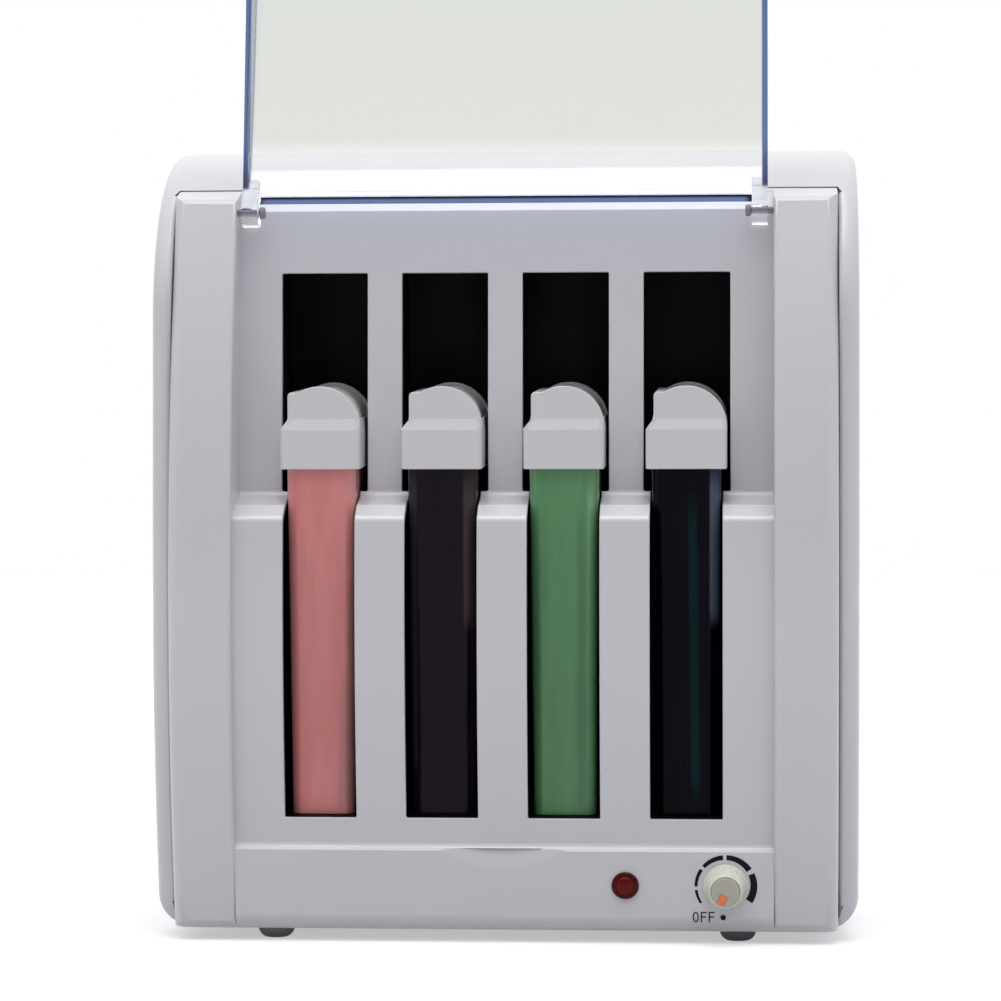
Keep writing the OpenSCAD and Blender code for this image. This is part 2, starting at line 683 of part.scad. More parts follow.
rear_housing();
front_bezel();
lid();
hinge_pins();
base_plate();
rubber_feet();
base_screws();
cord_gland();
heat_spreader();
heating_foil();
spreader_screws();
thermal_fuse();
terminal_block();
wiring();
pilot_lamp_lens();
pilot_lamp_body();
thermostat_body();
thermostat_nut();
thermostat_shaft();
knob_skirt();
knob_cap();
knob_pointer();
for (i = [1:4]) {
    heater_well(i);
    cartridge_bottle(i);
    cartridge_wax(i);
    cartridge_head(i);
    cartridge_axle(i);
    cartridge_roller(i);
}
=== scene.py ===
import math
from collections import defaultdict
import bpy
import bmesh
from mathutils import Matrix, Vector


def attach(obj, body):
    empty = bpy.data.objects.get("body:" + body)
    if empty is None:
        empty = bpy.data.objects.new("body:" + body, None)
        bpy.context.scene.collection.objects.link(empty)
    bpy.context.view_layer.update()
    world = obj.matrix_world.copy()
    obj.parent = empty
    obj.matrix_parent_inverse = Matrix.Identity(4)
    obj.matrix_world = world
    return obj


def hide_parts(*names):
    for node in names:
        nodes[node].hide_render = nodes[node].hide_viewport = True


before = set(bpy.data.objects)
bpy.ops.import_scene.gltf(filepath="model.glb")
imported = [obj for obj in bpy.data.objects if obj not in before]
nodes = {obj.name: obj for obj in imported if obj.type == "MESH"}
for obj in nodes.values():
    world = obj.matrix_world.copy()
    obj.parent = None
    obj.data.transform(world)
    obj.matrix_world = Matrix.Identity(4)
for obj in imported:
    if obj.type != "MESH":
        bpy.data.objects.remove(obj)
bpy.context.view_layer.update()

mm = 0.001


# a screen colour, 0 to 255, as the linear colour that shaders take
def paint(red, green, blue):
    return tuple((c / 255) ** 2.2 for c in (red, green, blue)) + (1.0,)


# driving sizes of the case, in millimetres, repeated from the part
case = {
    "frontY": -65.75,       # Y of the foremost front line
    "bayPitch": 42.6,
    "stripTilt": math.radians(8.1135),
    "stripHeight": 20.7,    # height of the lamp and the knob
    "stripDepth": 12.717,   # depth of the strip there
    "toe": (21, 11, 7),     # depth, height and radius of the strip's rounded toe
    "hinge": (18.5, 256),
}
bays = [(i - 1.5) * case["bayPitch"] for i in range(4)]


# a point from across, depth behind the front line and height, in metres
def place(across, depth, height):
    return Vector((across, case["frontY"] + depth, height)) * mm


# a point on the control strip or its rounded toe, raised off the surface
def onFace(across, height, raised=0.0):
    toeDepth, toeHeight, toeRadius = case["toe"]
    if height < toeHeight:
        drop = min(toeHeight - height, toeRadius)
        depth = toeDepth - math.sqrt(toeRadius ** 2 - drop ** 2)
        outward = Vector((depth - toeDepth, -drop)).normalized()
    else:
        depth = case["stripDepth"] + (case["stripHeight"] - height) * math.tan(case["stripTilt"])
        outward = Vector((-math.cos(case["stripTilt"]), -math.sin(case["stripTilt"])))
    return place(across, depth + outward.x * raised, height + outward.y * raised)


# puts +Z of a mesh square out of the control strip, with its origin on the surface
def onStrip(across):
    spot = place(across, case["stripDepth"], case["stripHeight"])
    return Matrix.Translation(spot) @ Matrix.Rotation(math.radians(90) + case["stripTilt"], 4, "X")


view = {
    "place": (0.08456, -1.28588, 0.14998),
    "yaw": 0.06922,
    "pitch": 0.003785,
    "lens": 127.34,
    "sensor": 36,
}


# how bright the room is from each way, first for matt surfaces and then in reflections
studio = {
    "matt": {"up": 0.88, "side": 0.3, "back": 0.6, "front": 0.03},
    "shine": {"up": 1.25, "side": 0.9, "back": 1.0, "front": 0.15},
    "topLamp": {"strength": 1.65, "spread": 50, "turn": (17, 0, 10)},
    "sideLamp": {"strength": 0.15, "spread": 70, "turn": (66, 0, -58)},
    "floorSize": 14,
    "floorTone": (196, 196, 199),
    "floorGlow": 0.47,
    "floorGrain": 900,
    "floorGrainDepth": 3,
    "clipEnd": 60,
}


def setCamera():
    data = bpy.data.cameras.new("camera")
    data.lens = view["lens"]
    data.sensor_width = view["sensor"]
    data.clip_end = studio["clipEnd"]
    camera = bpy.data.objects.new("camera", data)
    camera.location = view["place"]
    camera.rotation_euler = (math.pi / 2 + view["pitch"], 0, view["yaw"])
    bpy.context.scene.collection.objects.link(camera)
    bpy.context.scene.camera = camera
    bpy.context.scene.view_settings.view_transform = "Standard"


def addNode(tree, kind, **settings):
    node = tree.nodes.new(kind)
    for key, value in settings.items():
        setattr(node, key, value)
    return node


def calculate(tree, operation, first, second=None, third=None):
    node = addNode(tree, "ShaderNodeMath", operation=operation)
    for index, value in enumerate((first, second, third)):
        if value is None:
            continue
        if isinstance(value, (int, float)):
            node.inputs[index].default_value = value
        else:
            tree.links.new(value, node.inputs[index])
    return node.outputs[0]


# smooth step of a value between two limits, which may be sockets
def ramp(tree, value, low, high, outLow=0.0, outHigh=1.0):
    node = addNode(tree, "ShaderNodeMapRange", interpolation_type="SMOOTHSTEP")
    tree.links.new(value, node.inputs["Value"])
    for name, limit in (("From Min", low), ("From Max", high), ("To Min", outLow), ("To Max", outHigh)):
        if isinstance(limit, (int, float)):
            node.inputs[name].default_value = limit
        else:
            tree.links.new(limit, node.inputs[name])
    return node.outputs["Result"]


# true for rays that look at the background: straight, mirrored or through glass
def lookingRays(tree, names=("Is Camera Ray", "Is Glossy Ray", "Is Transmission Ray")):
    path = addNode(tree, "ShaderNodeLightPath")
    either = path.outputs[names[0]]
    for name in names[1:]:
        either = calculate(tree, "MAXIMUM", either, path.outputs[name])
    return either


# brightness of the room by the way it is seen: up, to the sides, behind or in front
def roomLevel(tree, axes, look):
    level = ramp(tree, axes["Y"], -0.6, 0.5, look["front"], look["back"])
    sideways = ramp(tree, calculate(tree, "ABSOLUTE", axes["X"]), 0.45, 0.95)
    level = ramp(tree, sideways, 0, 1, level, look["side"])
    return ramp(tree, ramp(tree, axes["Z"], 0.12, 0.75), 0, 1, level, look["up"])


def setRoom():
    world = bpy.data.worlds.new("room")
    world.use_nodes = True
    tree = world.node_tree
    tree.nodes.clear()
    out = addNode(tree, "ShaderNodeOutputWorld")
    sky = addNode(tree, "ShaderNodeBackground")
    axes = addNode(tree, "ShaderNodeSeparateXYZ")
    tree.links.new(addNode(tree, "ShaderNodeTexCoord").outputs["Generated"], axes.inputs[0])
    shiny = lookingRays(tree, ("Is Glossy Ray",))
    level = ramp(tree, shiny, 0, 1, roomLevel(tree, axes.outputs, studio["matt"]),
                 roomLevel(tree, axes.outputs, studio["shine"]))
    straight = lookingRays(tree, ("Is Camera Ray", "Is Transmission Ray"))
    tree.links.new(ramp(tree, straight, 0, 1, level, 1.0), sky.inputs["Strength"])
    tree.links.new(sky.outputs[0], out.inputs["Surface"])
    sky.inputs["Color"].default_value = (1, 1, 1, 1)
    bpy.context.scene.world = world


def setLamps():
    for name in ("topLamp", "sideLamp"):
        look = studio[name]
        data = bpy.data.lights.new(name, "SUN")
        data.energy = look["strength"]
        data.angle = math.radians(look["spread"])
        lamp = bpy.data.objects.new(name, data)
        lamp.rotation_euler = [math.radians(a) for a in look["turn"]]
        lamp.location = (0, 0, 1)
        bpy.context.scene.collection.objects.link(lamp)


def setFloor():
    half = studio["floorSize"] / 2
    mesh = bpy.data.meshes.new("floor")
    mesh.from_pydata([(-half, -half, 0), (half, -half, 0), (half, half, 0), (-half, half, 0)], [],
                     [(0, 1, 2, 3)])
    floor = bpy.data.objects.new("floor", mesh)
    bpy.context.scene.collection.objects.link(floor)
    material = bpy.data.materials.new("floorPaper")
    material.use_nodes = True
    tree = material.node_tree
    shader = tree.nodes["Principled BSDF"]
    shader.inputs["Roughness"].default_value = 0.9
    shader.inputs["Specular IOR Level"].default_value = 0.1
    grain = addNode(tree, "ShaderNodeTexNoise")
    grain.inputs["Scale"].default_value = studio["floorGrain"]
    grain.inputs["Detail"].default_value = 3
    coords = addNode(tree, "ShaderNodeTexCoord")
    tree.links.new(coords.outputs["Object"], grain.inputs["Vector"])
    mix = addNode(tree, "ShaderNodeMix", data_type="RGBA")
    mix.inputs[6].default_value = paint(*studio["floorTone"])
    mix.inputs[7].default_value = paint(*[c - studio["floorGrainDepth"] for c in studio["floorTone"]])
    tree.links.new(grain.outputs["Fac"], mix.inputs["Factor"])
    tree.links.new(mix.outputs[2], shader.inputs["Base Color"])
    shader.inputs["Emission Color"].default_value = (1, 1, 1, 1)
    tree.links.new(calculate(tree, "MULTIPLY", lookingRays(tree), studio["floorGlow"]),
                   shader.inputs["Emission Strength"])
    mesh.materials.append(material)


setCamera()
setRoom()
setLamps()
setFloor()
print("camera, room, lamps and floor are set")


def newGroup(name, inputs, outputs):
    group = bpy.data.node_groups.new(name, "ShaderNodeTree")
    for socket, value in inputs.items():
        made = group.interface.new_socket(name=socket, in_out="INPUT", socket_type="NodeSocketFloat")
        made.default_value = value
    for socket in outputs:
        group.interface.new_socket(name=socket, in_out="OUTPUT", socket_type="NodeSocketFloat")
    return group, addNode(group, "NodeGroupInput"), addNode(group, "NodeGroupOutput")


def noise(tree, vector, scale, detail=2.0, distortion=0.0):
    node = addNode(tree, "ShaderNodeTexNoise")
    node.inputs["Detail"].default_value = detail
    node.inputs["Distortion"].default_value = distortion
    tree.links.new(vector, node.inputs["Vector"])
    if isinstance(scale, (int, float)):
        node.inputs["Scale"].default_value = scale
    else:
        tree.links.new(scale, node.inputs["Scale"])
    return node.outputs["Fac"]


def stretched(tree, vector, scale):
    node = addNode(tree, "ShaderNodeMapping")
    node.inputs["Scale"].default_value = scale
    tree.links.new(vector, node.inputs["Vector"])
    return node.outputs["Vector"]


skinLook = {
    "toneSize": 14,
    "toneRange": (0.3, 0.7),
    "wipedSize": 60,
    "wipedStretch": (1, 1, 0.35),
    "wipedRange": (0.3, 0.8),
}
dustLook = {"dot": (0.16, 0.05), "patchSize": 40, "patchRange": (0.62, 0.8)}


# grain, slow tone change and wiped patches of moulded plastic
def makeMouldedSkin():
    group, start, end = newGroup("mouldedSkin", {"Grain Size": 1500, "Wave Size": 120, "Wave": 0.05},
                                 ("Height", "Tone", "Wiped"))
    where = addNode(group, "ShaderNodeTexCoord").outputs["Object"]
    grain = noise(group, where, start.outputs["Grain Size"], 3)
    wave = noise(group, where, start.outputs["Wave Size"], 1)
    height = calculate(group, "MULTIPLY_ADD", wave, start.outputs["Wave"], grain)
    tone = ramp(group, noise(group, where, skinLook["toneSize"], 1), *skinLook["toneRange"])
    drawn = stretched(group, where, skinLook["wipedStretch"])
    wiped = ramp(group, noise(group, drawn, skinLook["wipedSize"], 2), *skinLook["wipedRange"])
    for name, value in (("Height", height), ("Tone", tone), ("Wiped", wiped)):
        group.links.new(value, end.inputs[name])
    return group


# painted highlight: a mask of the outside edges thin enough to catch the light, which the plastics
# paint paler
def makeEdgeHighlightMask():
    group, start, end = newGroup("edgeHighlightMask", {"From": 0.52, "To": 0.6}, ("Mask",))
    point = addNode(group, "ShaderNodeNewGeometry").outputs["Pointiness"]
    group.links.new(ramp(group, point, start.outputs["From"], start.outputs["To"]), end.inputs["Mask"])
    return group


# specks of dust and lint, as a mask
def makeDust():
    group, start, end = newGroup("dust", {"Size": 700, "Amount": 0.3}, ("Mask",))
    where = addNode(group, "ShaderNodeTexCoord").outputs["Object"]
    cells = addNode(group, "ShaderNodeTexVoronoi", feature="F1")
    group.links.new(where, cells.inputs["Vector"])
    group.links.new(start.outputs["Size"], cells.inputs["Scale"])
    dots = ramp(group, cells.outputs["Distance"], *dustLook["dot"])
    patches = ramp(group, noise(group, where, dustLook["patchSize"], 4), *dustLook["patchRange"])
    both = calculate(group, "MULTIPLY", dots, patches)
    group.links.new(calculate(group, "MULTIPLY", both, start.outputs["Amount"]), end.inputs["Mask"])
    return group


mouldedSkin = makeMouldedSkin()
edgeHighlightMask = makeEdgeHighlightMask()
dust = makeDust()


def useGroup(tree, group, **values):
    node = addNode(tree, "ShaderNodeGroup")
    node.node_tree = group
    for name, value in values.items():
        node.inputs[name].default_value = value
    return node


def mixColor(tree, factor, first, second):
    node = addNode(tree, "ShaderNodeMix", data_type="RGBA")
    for index, value in ((6, first), (7, second)):
        if isinstance(value, tuple):
            node.inputs[index].default_value = value
        else:
            tree.links.new(value, node.inputs[index])
    tree.links.new(factor, node.inputs["Factor"])
    return node.outputs[2]


def newMaterial(name, **plain):
    material = bpy.data.materials.new(name)
    material.use_nodes = True
    tree = material.node_tree
    shader = tree.nodes["Principled BSDF"]
    for socket, value in plain.items():
        shader.inputs[socket].default_value = value
    return material, tree, shader


def addBump(tree, shader, height, strength, distance):
    bump = addNode(tree, "ShaderNodeBump")
    bump.inputs["Strength"].default_value = strength
    bump.inputs["Distance"].default_value = distance * mm
    tree.links.new(height, bump.inputs["Height"])
    tree.links.new(bump.outputs["Normal"], shader.inputs["Normal"])


mouldLook = {"coatRough": 0.12, "coatFade": 0.96, "bumpDepth": 0.03}


# a moulded plastic with grain, slow tone change, thin edges painted paler as a painted highlight, and
# wiped patches
def mouldedPlastic(name, look):
    material, tree, shader = newMaterial(name, **{
        "Coat Roughness": mouldLook["coatRough"], "Specular IOR Level": look.get("specular", 0.5)})
    skin = useGroup(tree, mouldedSkin, **{"Grain Size": look["grain"], "Wave": look.get("wave", 0.05)})
    edge = useGroup(tree, edgeHighlightMask)
    body = mixColor(tree, skin.outputs["Tone"], paint(*look["color"]), paint(*look["deep"]))
    # painted highlight: thin edges take the paler edge colour
    body = mixColor(tree, edge.outputs["Mask"], body, paint(*look["edge"]))
    tree.links.new(body, shader.inputs["Base Color"])
    low, high = look["rough"]
    tree.links.new(ramp(tree, skin.outputs["Wiped"], 0, 1, low, high), shader.inputs["Roughness"])
    coat = look["coat"]
    if coat:
        tree.links.new(ramp(tree, skin.outputs["Wiped"], 0, 1, coat, coat * mouldLook["coatFade"]),
                       shader.inputs["Coat Weight"])
    addBump(tree, shader, skin.outputs["Height"], look["bump"], mouldLook["bumpDepth"])
    return material


# the edge colour of each plastic is a painted highlight along its thin edges
plastics = {
    "shell": {"color": (205, 205, 211), "deep": (204, 204, 210), "edge": (207, 207, 213),
              "grain": 1600, "rough": (0.28, 0.295), "coat": 0.3, "bump": 0.08},
    "base": {"color": (196, 196, 203), "deep": (188, 188, 197), "edge": (210, 210, 214),
             "grain": 900, "rough": (0.5, 0.6), "coat": 0.0, "bump": 0.35},
    "head": {"color": (208, 208, 211), "deep": (207, 207, 210), "edge": (210, 210, 213),
             "grain": 2200, "rough": (0.28, 0.3), "coat": 0.3, "bump": 0.06},
    "roller": {"color": (240, 240, 243), "deep": (236, 236, 240), "edge": (242, 242, 244),
               "grain": 2400, "rough": (0.22, 0.3), "coat": 0.3, "bump": 0.06},
    # the wells' near-black colour and low shine are partly painted shade: darker than black plastic,
    # they stand in for the shade deep inside the wells
    "well": {"color": (3, 3, 4), "deep": (6, 5, 9), "edge": (12, 11, 15),
             "grain": 700, "rough": (0.55, 0.75), "coat": 0.0, "bump": 0.4, "wave": 0.6,
             "specular": 0.12},
    "pin": {"color": (98, 92, 106), "deep": (84, 78, 92), "edge": (136, 132, 146),
            "grain": 2600, "rough": (0.3, 0.42), "coat": 0.1, "bump": 0.15},
    "knobSkirt": {"color": (222, 223, 212), "deep": (212, 214, 202), "edge": (234, 235, 228),
                  "grain": 2600, "rough": (0.42, 0.55), "coat": 0.0, "bump": 0.3},
    "knobCap": {"color": (186, 184, 172), "deep": (178, 176, 164), "edge": (200, 199, 188),
                "grain": 3000, "rough": (0.45, 0.6), "coat": 0.0, "bump": 0.4},
    "pointer": {"color": (239, 128, 66), "deep": (228, 112, 52), "edge": (244, 158, 104),
                "grain": 2600, "rough": (0.32, 0.42), "coat": 0.1, "bump": 0.15},
    "print": {"color": (10, 10, 12), "deep": (16, 16, 19), "edge": (20, 20, 24),
              "grain": 3200, "rough": (0.4, 0.55), "coat": 0.0, "bump": 0.2, "specular": 0.12},
    "ceramic": {"color": (224, 220, 208), "deep": (212, 207, 192), "edge": (232, 229, 220),
                "grain": 1300, "rough": (0.55, 0.7), "coat": 0.0, "bump": 0.3},
    "lead": {"color": (150, 34, 30), "deep": (132, 28, 26), "edge": (170, 60, 52),
             "grain": 2000, "rough": (0.4, 0.5), "coat": 0.0, "bump": 0.1},
    "foil": {"color": (190, 104, 46), "deep": (172, 88, 36), "edge": (206, 130, 70),
             "grain": 1800, "rough": (0.3, 0.42), "coat": 0.2, "bump": 0.1},
}
finish = {name: mouldedPlastic(name + "Plastic", look) for name, look in plastics.items()}

rubberLook = {
    "color": (138, 138, 141),
    "deep": (122, 122, 125),
    "dusty": (160, 160, 162),
    "grain": 1100,
    "rough": (0.62, 0.8),
    "dust": 0.6,
    "bump": 0.5,
    "bumpDepth": 0.05,
}


def mattRubber(name, look):
    material, tree, shader = newMaterial(name, **{"Specular IOR Level": 0.35, "Sheen Weight": 0.15})
    skin = useGroup(tree, mouldedSkin, **{"Grain Size": look["grain"]})
    specks = useGroup(tree, dust, Amount=look["dust"])
    body = mixColor(tree, skin.outputs["Tone"], paint(*look["color"]), paint(*look["deep"]))
    tree.links.new(mixColor(tree, specks.outputs["Mask"], body, paint(*look["dusty"])),
                   shader.inputs["Base Color"])
    tree.links.new(ramp(tree, skin.outputs["Wiped"], 0, 1, *look["rough"]), shader.inputs["Roughness"])
    addBump(tree, shader, skin.outputs["Height"], look["bump"], look["bumpDepth"])
    return material


finish["rubber"] = mattRubber("footRubber", rubberLook)
finish["gland"] = mattRubber("glandRubber", {**rubberLook, "color": (30, 30, 32), "deep": (24, 24, 26)})

metals = {
    "steel": {"color": (196, 197, 200), "deep": (176, 177, 181),
              "rough": (0.26, 0.4), "along": (1, 40, 40)},
    "aluminium": {"color": (206, 208, 212), "deep": (190, 192, 197),
                  "rough": (0.34, 0.46), "along": (1, 30, 30)},
    "brass": {"color": (206, 178, 108), "deep": (188, 158, 88),
              "rough": (0.28, 0.4), "along": (30, 30, 1)},
}
drawLook = {"lineSize": 120, "range": (0.3, 0.7), "bump": 0.1, "bumpDepth": 0.02}


def drawnMetal(name, look):
    material, tree, shader = newMaterial(name, Metallic=1.0)
    where = addNode(tree, "ShaderNodeTexCoord").outputs["Object"]
    lines = noise(tree, stretched(tree, where, look["along"]), drawLook["lineSize"], 4)
    body = mixColor(tree, lines, paint(*look["color"]), paint(*look["deep"]))
    tree.links.new(body, shader.inputs["Base Color"])
    tree.links.new(ramp(tree, lines, *drawLook["range"], *look["rough"]), shader.inputs["Roughness"])
    addBump(tree, shader, lines, drawLook["bump"], drawLook["bumpDepth"])
    return material


finish.update({name: drawnMetal(name, look) for name, look in metals.items()})
print("plastics, rubber and metals are mixed")


# a copy of a node's mesh with its split seams joined and its flat faces whole
def weldedCopy(node, gap=0.004):
    work = bmesh.new()
    work.from_mesh(nodes[node].data)
    bmesh.ops.remove_doubles(work, verts=work.verts, dist=gap * mm)
    bmesh.ops.dissolve_degenerate(work, edges=work.edges, dist=gap * mm)
    bmesh.ops.dissolve_limit(work, angle_limit=math.radians(0.3), verts=work.verts, edges=work.edges,
                             delimit={"NORMAL"})
    return work


# rounds the outward edges that a test picks, by a width in millimetres
def roundEdges(work, picks, width, steps=3):
    chosen = [e for e in work.edges if e.is_manifold and e.is_convex and picks(e)]
    bmesh.ops.bevel(work, geom=chosen, offset=width * mm, offset_type="OFFSET", segments=steps,
                    profile=0.5, affect="EDGES", clamp_overlap=False, loop_slide=True)
    return len(chosen)


def middleOf(edge):
    point = (edge.verts[0].co + edge.verts[1].co) / 2 / mm
    return point.x, point.y - case["frontY"], point.z


def sharpAt(edge, degrees):
    return edge.calc_face_angle(0) > math.radians(degrees)


# faces wider than this stay flat or follow their own sweep, and narrow ones blend into them
shading = {"wide": 2.0, "sweep": 16, "crease": 35}


def settleNormals(mesh, crease):
    sweep = math.cos(math.radians(shading["sweep"]))
    blend = math.cos(math.radians(crease))
    around = defaultdict(list)
    faces = []
    for face in mesh.polygons:
        corners = [mesh.vertices[v].co for v in face.vertices]
        rim = sum((a - b).length for a, b in zip(corners, corners[1:] + corners[:1]))
        faces.append((face.normal.copy(), face.area, face.area / rim * 2 / mm > shading["wide"]))
        for v in face.vertices:
            around[v].append(face.index)
    normals = [None] * len(mesh.loops)
    for face in mesh.polygons:
        own, area, wide = faces[face.index]
        for loop in face.loop_indices:
            near = [faces[k] for k in around[mesh.loops[loop].vertex_index]]
            picked = [f for f in near if f[2] and f[0].dot(own) > (sweep if wide else blend)]
            if not picked:
                picked = [f for f in near if f[0].dot(own) > blend]
            total = sum((f[0] * f[1] for f in picked), Vector())
            normals[loop] = total.normalized() if total.length > 0 else own
    mesh.normals_split_custom_set(normals)


def addPiece(work, name, body, material, replaced=(), crease=None):
    mesh = bpy.data.meshes.new(name)
    work.to_mesh(mesh)
    work.free()
    mesh.shade_smooth()
    mesh.materials.clear()
    mesh.materials.append(material)
    settleNormals(mesh, crease or shading["crease"])
    piece = bpy.data.objects.new(name, mesh)
    bpy.context.scene.collection.objects.link(piece)
    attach(piece, body)
    if replaced:
        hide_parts(*replaced)
    return piece


# adds a profile of (radius, height) points turned about +Z, placed by a matrix
def turned(work, profile, sides, placed, swell=None):
    rings = []
    for row, (radius, height) in enumerate(profile):
        ring = []
        for k in range(sides):
            angle = 2 * math.pi * k / sides
            r = radius + (swell(row, angle) if swell else 0)
            spot = Vector((r * math.cos(angle), r * math.sin(angle), height)) * mm
            ring.append(work.verts.new(placed @ spot))
        rings.append(ring)
    for low, high in zip(rings, rings[1:]):
        for k in range(sides):
            j = (k + 1) % sides
            work.faces.new((low[k], low[j], high[j], high[k]))
    work.faces.new(rings[0][::-1])
    work.faces.new(rings[-1])


frontLook = {
    "rimRound": 0.4,
    "rimSteps": 3,
    "rimAngle": 50,
    "rimReach": 15.6,       # how far a rim lies from the middle of its bay
    "rimHeights": (43, 236),
    "rimDepth": 24.4,
    "seam": 0.06,
}
housingLip = {
    "across": 116.8,
    "round": 1.6,
    "turnedIn": (200, 262),
    "depth": 6,
    "sideways": 0.3,        # a face whose normal has less depth than this is the lip's end
}


# the rims of the windows and slots, where a hand or a cartridge meets the front
def onRim(edge):
    across, depth, height = middleOf(edge)
    nearest = min(abs(across - x) for x in bays)
    low, high = frontLook["rimHeights"]
    inside = nearest < frontLook["rimReach"] and low < height < high and depth < frontLook["rimDepth"]
    return inside and sharpAt(edge, frontLook["rimAngle"])


# true for the inner or the outer edge of the housing's lip beside the rails
def onLip(point, faces, inner):
    beside = abs(abs(point[0]) - housingLip["across"]) < 0.05
    side = 1 if inner else -1
    return beside and any(face.normal.y * side > housingLip["sideways"] for face in faces)


# the lip of the opening is rounded, and turns in beside the rails where they bow away from it
def makeRearShell():
    rear = weldedCopy("rear_housing")
    roundEdges(rear, lambda edge: sharpAt(edge, 60) and onLip(middleOf(edge), edge.link_faces, False),
               housingLip["round"], 3)
    low, high = housingLip["turnedIn"]
    for vert in rear.verts:
        point = vert.co / mm
        if low < point.z < high and onLip(point, vert.link_faces, True):
            vert.co.y += housingLip["depth"] * mm
    return rear


def makeCase():
    front = weldedCopy("front_bezel", frontLook["seam"])
    print("front rim edges:", roundEdges(front, onRim, frontLook["rimRound"], frontLook["rimSteps"]))
    addPiece(front, "bezelFront", "case", finish["shell"], ["front_bezel"])
    addPiece(makeRearShell(), "rearShell", "case", finish["shell"], ["rear_housing"])


makeCase()
print("housing is finished")


lidLook = {
    # painted reflection: the bend below the plate takes this untinted colour, standing in for its
    # bright reflection
    "clear": (251, 252, 253),
    "plate": (223, 226, 221),       # faint grey-green of the face
    "plateDeep": (219, 222, 216),
    "rim": (84, 104, 154),          # blue-grey of the sides, darker near the hinge
    "rimDeep": (30, 48, 104),
    "rimFrom": (264, 280),
    "heel": (140, 160, 215),        # blue of a long way through the hinge end
    "heelPaintedGlow": (84, 96, 126),     # painted glow of the hinge end, an emission that stands in for light carried down from the lid
    "heelFrom": (259.9, 260.9),
    "halfWidth": 92.2,
    "earEnd": 86.4,                 # inner end of the clear ears
    "earTop": 263,
    "footTop": 261.0,               # the rim of the hinge end, with the lid open
    "plateFrom": (272, 284),        # heights between which the bend, painted clear white as a painted reflection, turns into the tinted plate
    "grain": 1500,
    "grainBump": 0.06,
    "grainDepth": 0.02,
    "rimBand": (2.4, 1.6),          # how far in the blue of the sides reaches
    "earFade": 2,
    "heelFade": 0.5,
    "earSoft": 3,
    "edgeAngle": 60,
    "round": 0.3,
    "roundFrom": 1.2,               # shorter edges stay as they are
}


def clearPlastic():
    material, tree, shader = newMaterial("clearLid", **{
        "Transmission Weight": 1.0, "IOR": 1.49, "Roughness": 0.02, "Coat Weight": 0.0})
    where = addNode(tree, "ShaderNodeTexCoord").outputs["Object"]
    axes = addNode(tree, "ShaderNodeSeparateXYZ")
    tree.links.new(where, axes.inputs[0])
    sides = calculate(tree, "ABSOLUTE", axes.outputs["X"])
    height = axes.outputs["Z"]
    half, ear, foot = lidLook["halfWidth"], lidLook["earEnd"], lidLook["footTop"]
    rimFrom, rimTo = lidLook["rimBand"]
    earTop = lidLook["earTop"]
    rim = calculate(tree, "MULTIPLY", ramp(tree, sides, (half - rimFrom) * mm, (half - rimTo) * mm),
                    ramp(tree, height, earTop * mm, (earTop + lidLook["earFade"]) * mm))
    between = ramp(tree, sides, ear * mm, (ear - lidLook["earSoft"]) * mm)
    heel = calculate(tree, "MULTIPLY", between,
                     ramp(tree, height, (foot + lidLook["heelFade"]) * mm, foot * mm))
    low, high = lidLook["plateFrom"]
    # painted reflection: the bend is painted clearer than the plate, for its bright reflection
    bend = ramp(tree, height, low * mm, high * mm)
    grain = noise(tree, where, lidLook["grain"], 4)
    plate = mixColor(tree, grain, paint(*lidLook["plate"]), paint(*lidLook["plateDeep"]))
    face = mixColor(tree, bend, paint(*lidLook["clear"]), plate)
    deepFrom, deepTo = lidLook["rimFrom"]
    blue = mixColor(tree, ramp(tree, height, deepFrom * mm, deepTo * mm), paint(*lidLook["rimDeep"]),
                    paint(*lidLook["rim"]))
    face = mixColor(tree, heel, face, paint(*lidLook["heel"]))
    tree.links.new(mixColor(tree, rim, face, blue), shader.inputs["Base Color"])
    # painted glow: the hinge end shines by emission, though it is no lamp
    glowLow, glowHigh = lidLook["heelFrom"]
    paintedGlowMask = calculate(tree, "MULTIPLY", between,
                            ramp(tree, height, glowHigh * mm, glowLow * mm))
    glow = mixColor(tree, paintedGlowMask, (0.0, 0.0, 0.0, 1.0), paint(*lidLook["heelPaintedGlow"]))
    tree.links.new(glow, shader.inputs["Emission Color"])
    shader.inputs["Emission Strength"].default_value = 1.0
    addBump(tree, shader, grain, lidLook["grainBump"], lidLook["grainDepth"])
    return material


finish["lid"] = clearPlastic()

pinLook = {
    "end": 96.6,            # how far out the pins reach
    "head": 84.4,           # inner end of the pins' heads
    "round": 1.2,
    "profile": [(1.7, 0), (2.1, 0.35), (2.1, 1.6), (1.85, 1.9), (1.2, 1.95)],
}


def makeLid():
    work = weldedCopy("lid", 0.02)
    shortest = lidLook["roundFrom"] * mm
    roundEdges(work, lambda edge: sharpAt(edge, lidLook["edgeAngle"]) and edge.calc_length() > shortest,
               lidLook["round"], 2)
    lid = addPiece(work, "clearLid", "lid", finish["lid"], ["lid"])
    lid.visible_shadow = False
    pins = bmesh.new()
    profile = pinLook["profile"] + [(pinLook["round"], pinLook["end"] - pinLook["head"])]
    for side in (-1, 1):
        spot = Matrix.Translation(place(side * pinLook["head"], *case["hinge"]))
        turned(pins, profile, 36, spot @ Matrix.Rotation(math.radians(90 * side), 4, "Y"))
    addPiece(pins, "hingePins", "case", finish["pin"], ["hinge_pins"])


makeLid()
print("lid is finished")
